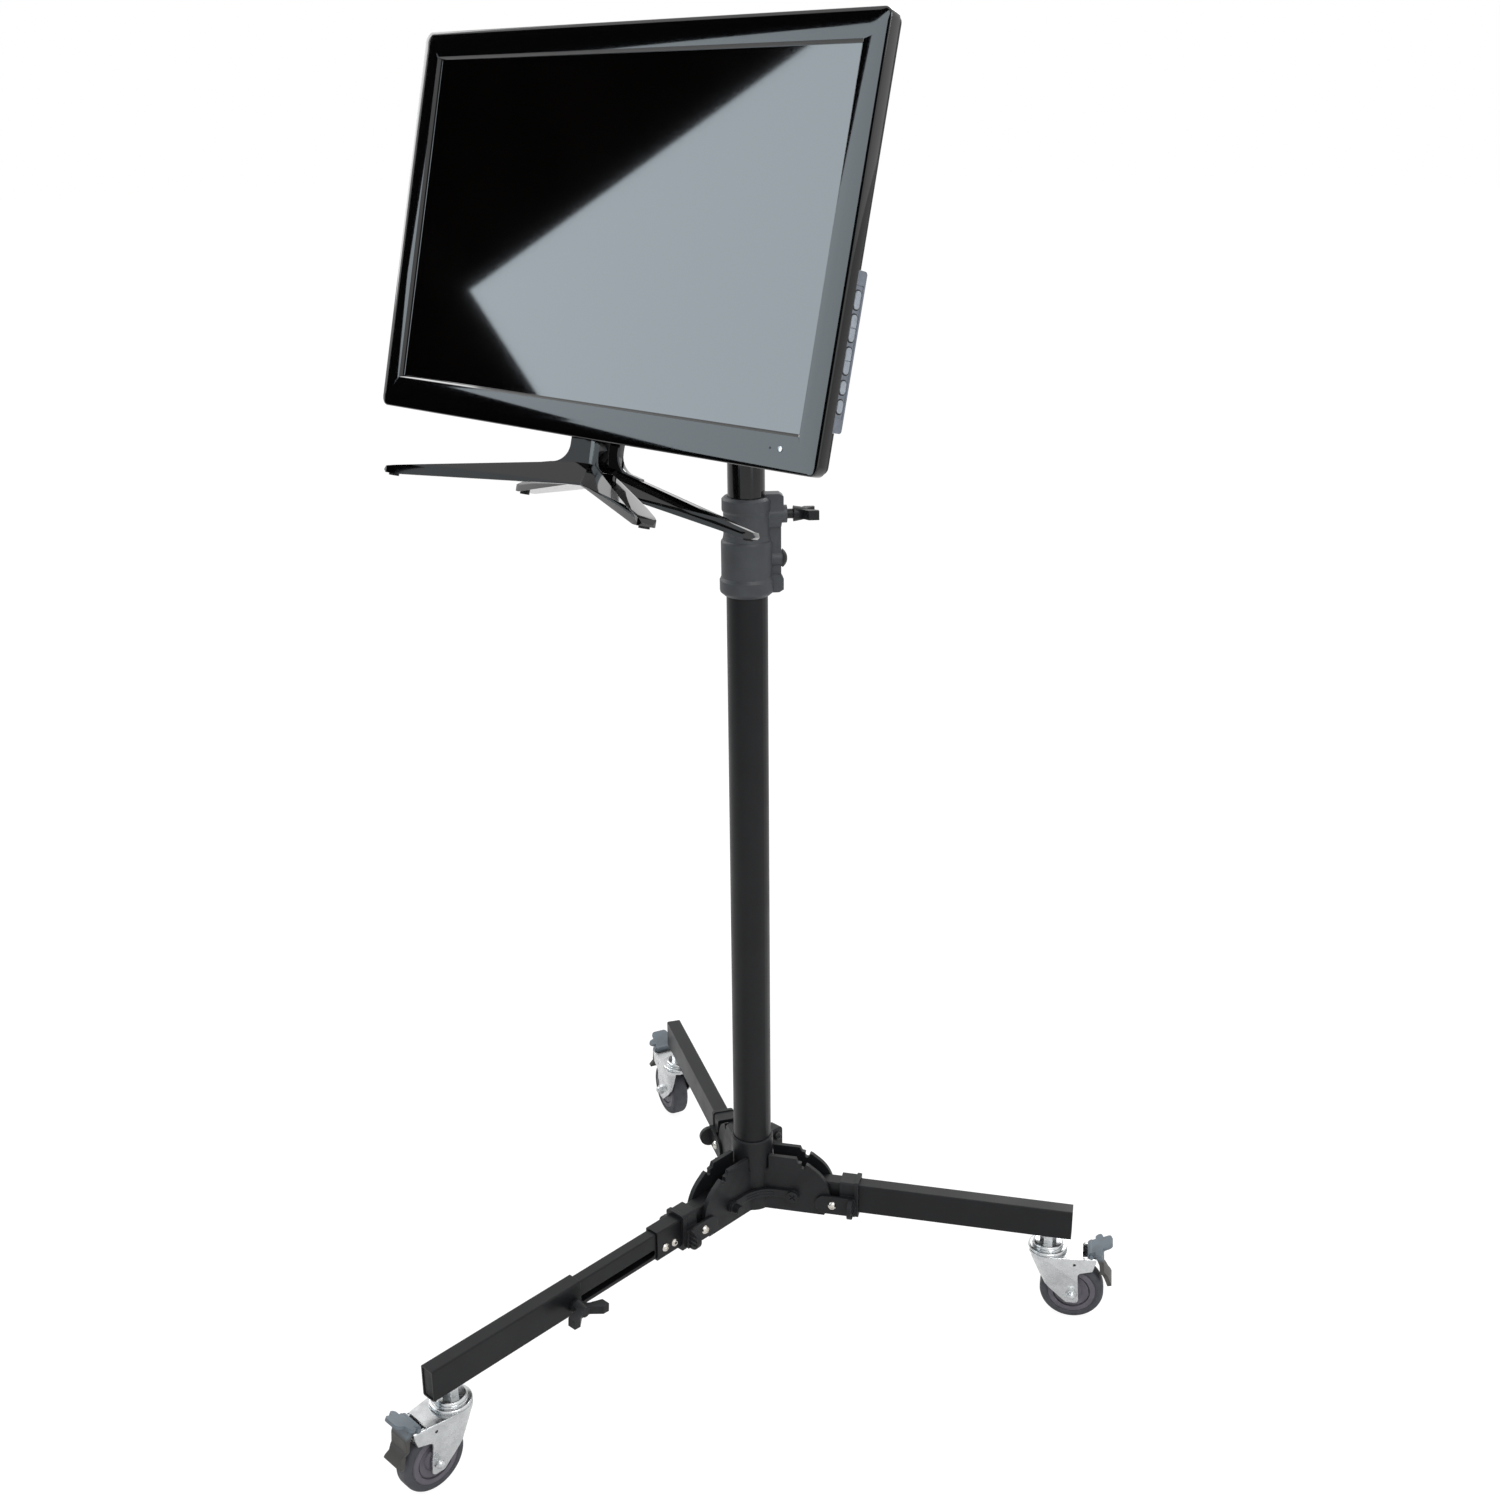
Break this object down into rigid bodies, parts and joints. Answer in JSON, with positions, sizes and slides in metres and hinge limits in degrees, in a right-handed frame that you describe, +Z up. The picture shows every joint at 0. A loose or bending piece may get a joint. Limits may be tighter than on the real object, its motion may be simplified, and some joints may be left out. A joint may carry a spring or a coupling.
{
  "type": "rolling monitor stand",
  "caption": "Folding three-leg rolling stand with braked casters, a telescoping column with a T-handle clamp, and a tilting flat monitor on its head.",
  "frame": {"origin": "on the floor, on the axis of the column", "axes": "+Z up along the column; the screen faces -Y; the levelling leg points along -Y and the two plain legs to 30 and 150 degrees from +X; the side keys are on the +X side"},
  "size_m": [0.7732, 0.7757, 1.4381],
  "materials": {
    "column_paint": "satin black",
    "casting_paint": "rough satin charcoal",
    "hub_paint": "satin black",
    "riser_paint": "gloss black",
    "black_plastic": "satin",
    "gloss_plastic": "piano black",
    "zinc": "bright zinc",
    "chrome_screw": "bright",
    "pedal_plastic": "satin grey",
    "tread": "matt grey",
    "core": "satin",
    "pod_plastic": "satin pale grey",
    "key_plastic": "satin",
    "panel": "glossy dark",
    "rubber": "matt"
  },
  "bodies": {
    "base": {"hub_casting": "hub_paint", "lower_column": "column_paint", "pivot_pins": "hub_paint", "corner_straps": "hub_paint", "riser_clamp": "casting_paint", "clamp_set_screw": "black_plastic"},
    "clamp_screw": {"clamp_handle": "black_plastic"},
    "leg_right": {"leg_tube_right": "column_paint", "leg_cap_right": "black_plastic", "caster_stem_right": "zinc"},
    "leg_rear": {"leg_tube_rear": "column_paint", "leg_cap_rear": "black_plastic", "caster_stem_rear": "zinc"},
    "leg_front": {"leg_stub_front": "column_paint", "leg_inner_front": "column_paint", "stub_fasteners": "chrome_screw"},
    "slider": {"leg_slider_front": "column_paint", "leg_cap_front": "black_plastic", "caster_stem_front": "zinc"},
    "slider_screw": {"slider_knob": "black_plastic"},
    "latch_right": {"latch_collar_right": "hub_paint", "latch_pin_right": "chrome_screw"},
    "latch_rear": {"latch_collar_rear": "hub_paint", "latch_pin_rear": "chrome_screw"},
    "latch_front": {"latch_collar_front": "hub_paint", "latch_pin_front": "chrome_screw"},
    "fork_right": {"caster_fork_right": "zinc", "caster_axle_right": "zinc"},
    "wheel_right": {"caster_tyre_right": "tread", "caster_core_right": "core"},
    "brake_right": {"brake_pedal_right": "pedal_plastic"},
    "fork_rear": {"caster_fork_rear": "zinc", "caster_axle_rear": "zinc"},
    "wheel_rear": {"caster_tyre_rear": "tread", "caster_core_rear": "core"},
    "brake_rear": {"brake_pedal_rear": "pedal_plastic"},
    "fork_front": {"caster_fork_front": "zinc", "caster_axle_front": "zinc"},
    "wheel_front": {"caster_tyre_front": "tread", "caster_core_front": "core"},
    "brake_front": {"brake_pedal_front": "pedal_plastic"},
    "riser": {"riser_tube": "riser_paint", "riser_foot_bush": "black_plastic", "riser_head": "casting_paint"},
    "head_screw": {"head_knob": "black_plastic"},
    "pan": {"pan_arm": "casting_paint"},
    "hinge_screw": {"tilt_knob": "black_plastic"},
    "monitor": {"tilt_plate": "casting_paint", "plate_screws": "zinc", "rear_cover": "black_plastic", "front_bezel": "gloss_plastic", "lcd_panel": "panel", "button_pod": "pod_plastic", "table_foot": "gloss_plastic", "foot_pads": "rubber"},
    "key_input": {"key_input": "key_plastic"},
    "key_volume": {"key_volume": "key_plastic"},
    "key_menu": {"key_menu": "key_plastic"},
    "key_select": {"key_select": "key_plastic"},
    "key_power": {"key_power": "key_plastic"}
  },
  "joints": [
    {"name": "fold_right", "type": "hinge", "parent": "base", "child": "leg_right", "pos_m": [0.04677, 0.027, 0.127], "axis": [0.5, -0.866, 0], "range_deg": [0, 83]},
    {"name": "latch_right", "type": "slide", "parent": "leg_right", "child": "latch_right", "axis": [0.866, 0.5, 0], "range_m": [-0.0074, 0]},
    {"name": "fold_rear", "type": "hinge", "parent": "base", "child": "leg_rear", "pos_m": [-0.04677, 0.027, 0.127], "axis": [0.5, 0.866, 0], "range_deg": [0, 83]},
    {"name": "latch_rear", "type": "slide", "parent": "leg_rear", "child": "latch_rear", "axis": [-0.866, 0.5, 0], "range_m": [-0.0074, 0]},
    {"name": "fold_front", "type": "hinge", "parent": "base", "child": "leg_front", "pos_m": [0, -0.054, 0.127], "axis": [-1, 0, 0], "range_deg": [0, 83]},
    {"name": "latch_front", "type": "slide", "parent": "leg_front", "child": "latch_front", "axis": [0, -1, 0], "range_m": [-0.0074, 0]},
    {"name": "front_leg_slide", "type": "slide", "parent": "leg_front", "child": "slider", "axis": [0, -1, 0], "range_m": [-0.116, 0.02]},
    {"name": "slider_screw_turn", "type": "hinge", "parent": "slider", "child": "slider_screw", "pos_m": [0, -0.299, 0.12], "axis": [1, 0, 0], "range_deg": [-170, 170]},
    {"name": "swivel_right", "type": "hinge", "parent": "leg_right", "child": "fork_right", "pos_m": [0.31177, 0.18, 0.095], "axis": [0, 0, 1], "continuous": true},
    {"name": "roll_right", "type": "hinge", "parent": "fork_right", "child": "wheel_right", "pos_m": [0.33763, 0.19616, 0.0375], "axis": [-0.5299, 0.848, 0], "continuous": true},
    {"name": "brake_right", "type": "hinge", "parent": "fork_right", "child": "brake_right", "pos_m": [0.35502, 0.20703, 0.091], "axis": [-0.5299, 0.848, 0], "range_deg": [0, 6]},
    {"name": "swivel_rear", "type": "hinge", "parent": "leg_rear", "child": "fork_rear", "pos_m": [-0.31177, 0.18, 0.095], "axis": [0, 0, 1], "continuous": true},
    {"name": "roll_rear", "type": "hinge", "parent": "fork_rear", "child": "wheel_rear", "pos_m": [-0.34024, 0.19093, 0.0375], "axis": [-0.3584, -0.9336, 0], "continuous": true},
    {"name": "brake_rear", "type": "hinge", "parent": "fork_rear", "child": "brake_rear", "pos_m": [-0.35938, 0.19828, 0.091], "axis": [-0.3584, -0.9336, 0], "range_deg": [0, 6]},
    {"name": "swivel_front", "type": "hinge", "parent": "slider", "child": "fork_front", "pos_m": [0, -0.4655, 0.095], "axis": [0, 0, 1], "continuous": true},
    {"name": "roll_front", "type": "hinge", "parent": "fork_front", "child": "wheel_front", "pos_m": [-0.00106, -0.49598, 0.0375], "axis": [0.9994, -0.0349, 0], "continuous": true},
    {"name": "brake_front", "type": "hinge", "parent": "fork_front", "child": "brake_front", "pos_m": [-0.00178, -0.51647, 0.091], "axis": [0.9994, -0.0349, 0], "range_deg": [0, 6]},
    {"name": "clamp_screw_turn", "type": "hinge", "parent": "base", "child": "clamp_screw", "pos_m": [0.03346, 0.03716, 0.957], "axis": [0.6691, 0.7431, 0], "range_deg": [-170, 170]},
    {"name": "riser_slide", "type": "slide", "parent": "base", "child": "riser", "axis": [0, 0, 1], "range_m": [-0.15, 0.4]},
    {"name": "head_screw_turn", "type": "hinge", "parent": "riser", "child": "head_screw", "pos_m": [0, 0.037, 1.202], "axis": [0, 1, 0], "range_deg": [-170, 170]},
    {"name": "pan_turn", "type": "hinge", "parent": "riser", "child": "pan", "pos_m": [0, 0, 1.2345], "axis": [0, 0, 1], "range_deg": [-170, 170]},
    {"name": "tilt_turn", "type": "hinge", "parent": "pan", "child": "monitor", "pos_m": [0, -0.1105, 1.2345], "axis": [1, 0, 0], "range_deg": [-16, 24]},
    {"name": "hinge_screw_turn", "type": "hinge", "parent": "pan", "child": "hinge_screw", "pos_m": [0, -0.1105, 1.2345], "axis": [1, 0, 0], "range_deg": [-170, 170]},
    {"name": "key_input_press", "type": "slide", "parent": "monitor", "child": "key_input", "axis": [-1, 0, 0], "range_m": [0, 0.0007], "stiffness_N_per_m": 400},
    {"name": "key_volume_rock", "type": "hinge", "parent": "monitor", "child": "key_volume", "pos_m": [0.3011, -0.18928, 1.18921], "axis": [0, 0.9703, -0.2419], "range_deg": [-3, 3], "stiffness_Nm_per_rad": 0.05},
    {"name": "key_menu_rock", "type": "hinge", "parent": "monitor", "child": "key_menu", "pos_m": [0.3011, -0.19581, 1.16301], "axis": [0, 0.9703, -0.2419], "range_deg": [-3, 3], "stiffness_Nm_per_rad": 0.05},
    {"name": "key_select_press", "type": "slide", "parent": "monitor", "child": "key_select", "axis": [-1, 0, 0], "range_m": [0, 0.0007], "stiffness_N_per_m": 400},
    {"name": "key_power_press", "type": "slide", "parent": "monitor", "child": "key_power", "axis": [-1, 0, 0], "range_m": [0, 0.0007], "stiffness_N_per_m": 400}
  ]
}
